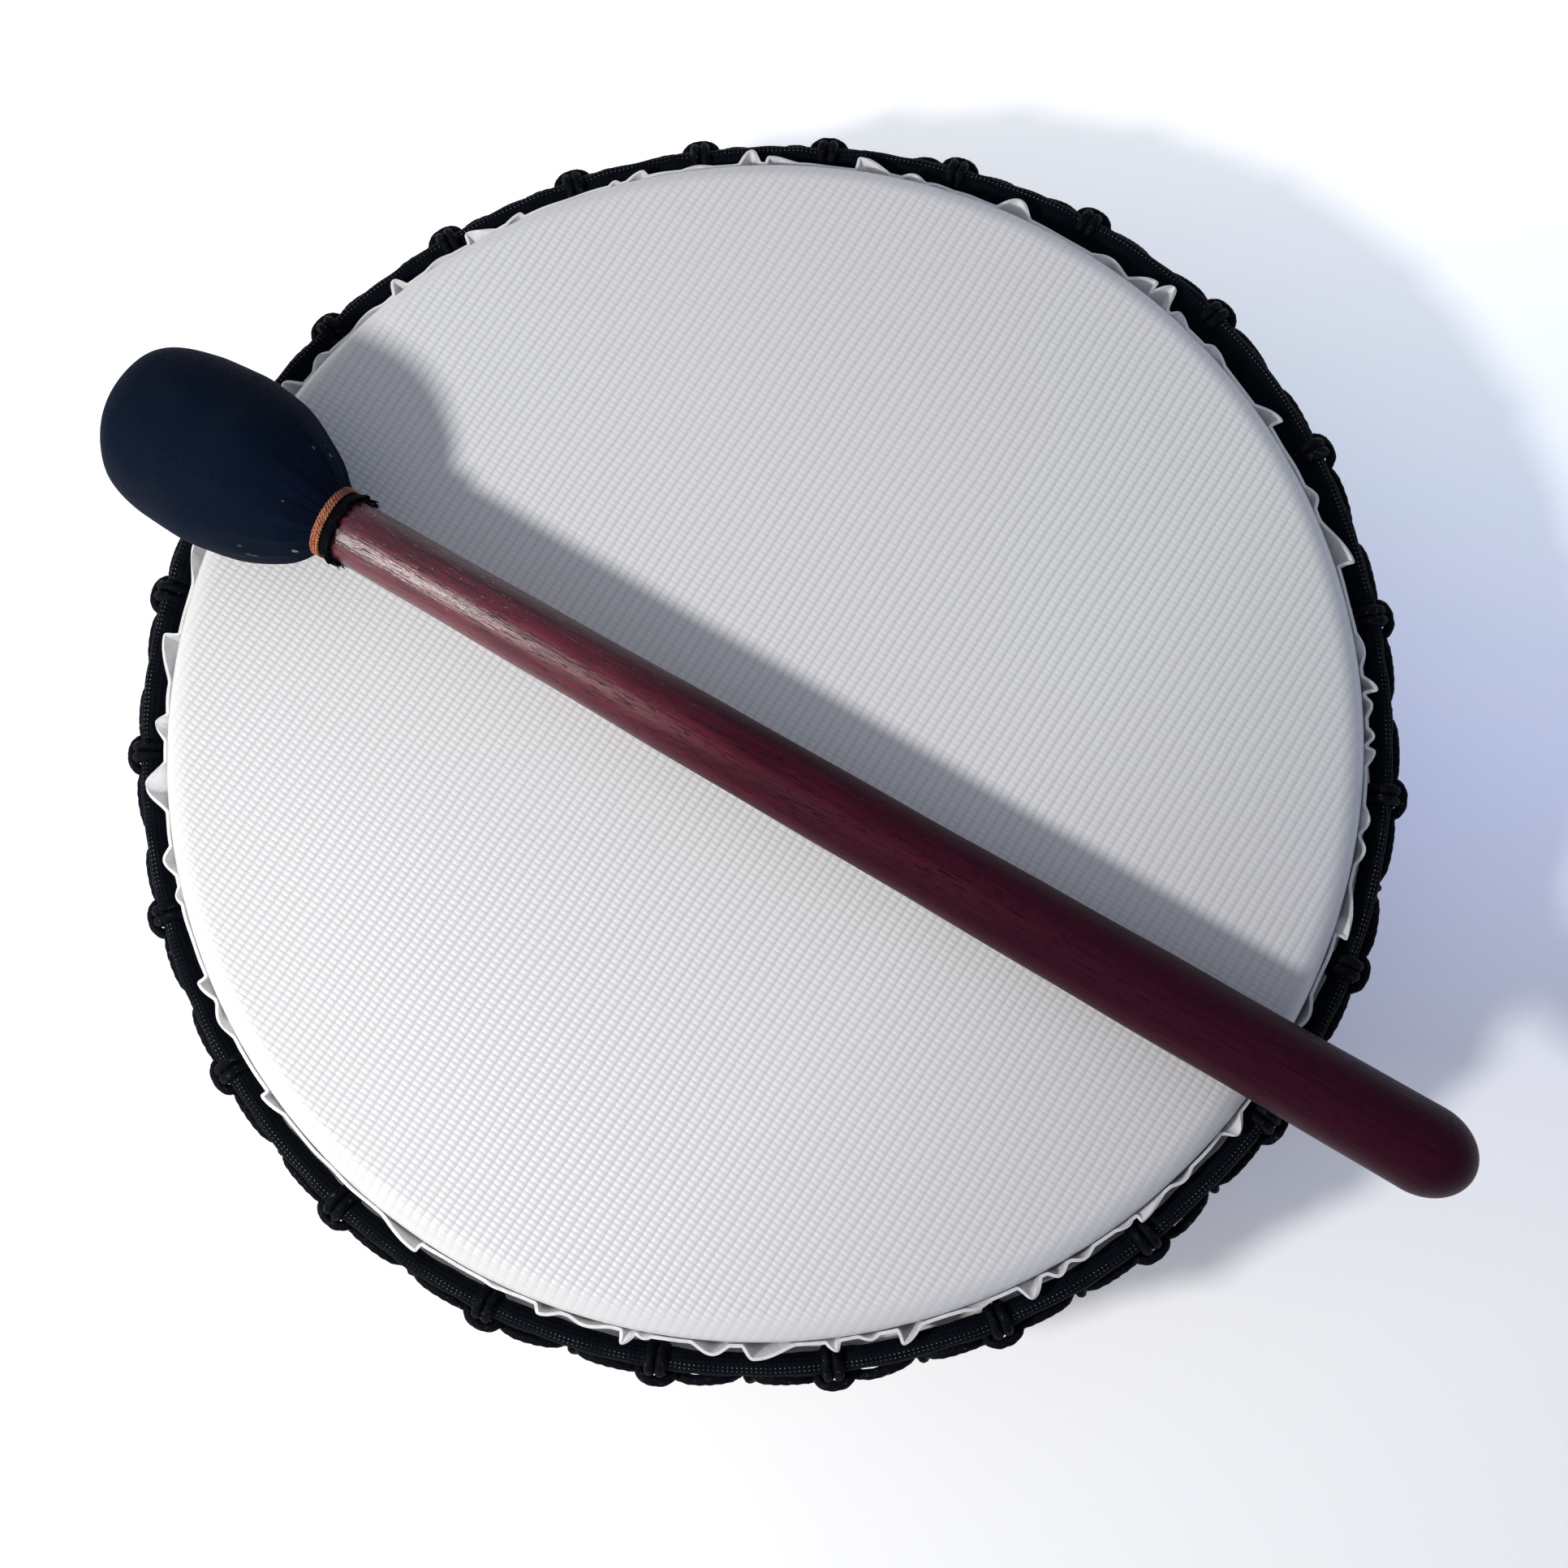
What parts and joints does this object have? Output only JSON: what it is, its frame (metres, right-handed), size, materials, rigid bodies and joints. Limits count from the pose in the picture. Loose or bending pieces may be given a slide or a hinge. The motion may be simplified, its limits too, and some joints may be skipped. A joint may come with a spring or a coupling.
{
  "type": "shaman drum",
  "caption": "One-headed round frame drum with a synthetic skin, rope-hitched crown ring, laced grip ring at the back, and a padded beater lying across the head.",
  "frame": {"origin": "the drum's axis, on the surface that the hoop's back edge rests on", "axes": "+Z out of the head, +X to the right and +Y to the top of the head as the picture shows it"},
  "size_m": [0.3344, 0.3307, 0.1191],
  "materials": {
    "hoop_wood": "oiled bent birch ply",
    "white_skin": "white coated scrim with a woven relief",
    "ring_steel": "bare drawn rod",
    "black_cloth": "black woven tape",
    "black_rope": "black braided cord",
    "stained_wood": "red-brown stain under satin varnish",
    "padding_felt": "wool felt",
    "cover_cloth": "blue-black woven cotton",
    "binding_twine": "orange-brown waxed twine"
  },
  "bodies": {
    "drum": {"frame_hoop": "hoop_wood", "drumhead": "white_skin", "flesh_ring": "ring_steel", "crown_ring": "ring_steel", "crown_wrap": "black_cloth", "cradle_rope": "black_rope", "lacing_rope": "black_rope", "grip_ring": "ring_steel"},
    "beater": {"beater_stick": "stained_wood", "beater_padding": "padding_felt", "beater_cover": "cover_cloth", "beater_binding": "binding_twine"}
  },
  "joints": [
    {"name": "beater_lift", "type": "slide", "parent": "drum", "child": "beater", "axis": [0, 0, 1], "range_m": [0, 0.12]}
  ]
}
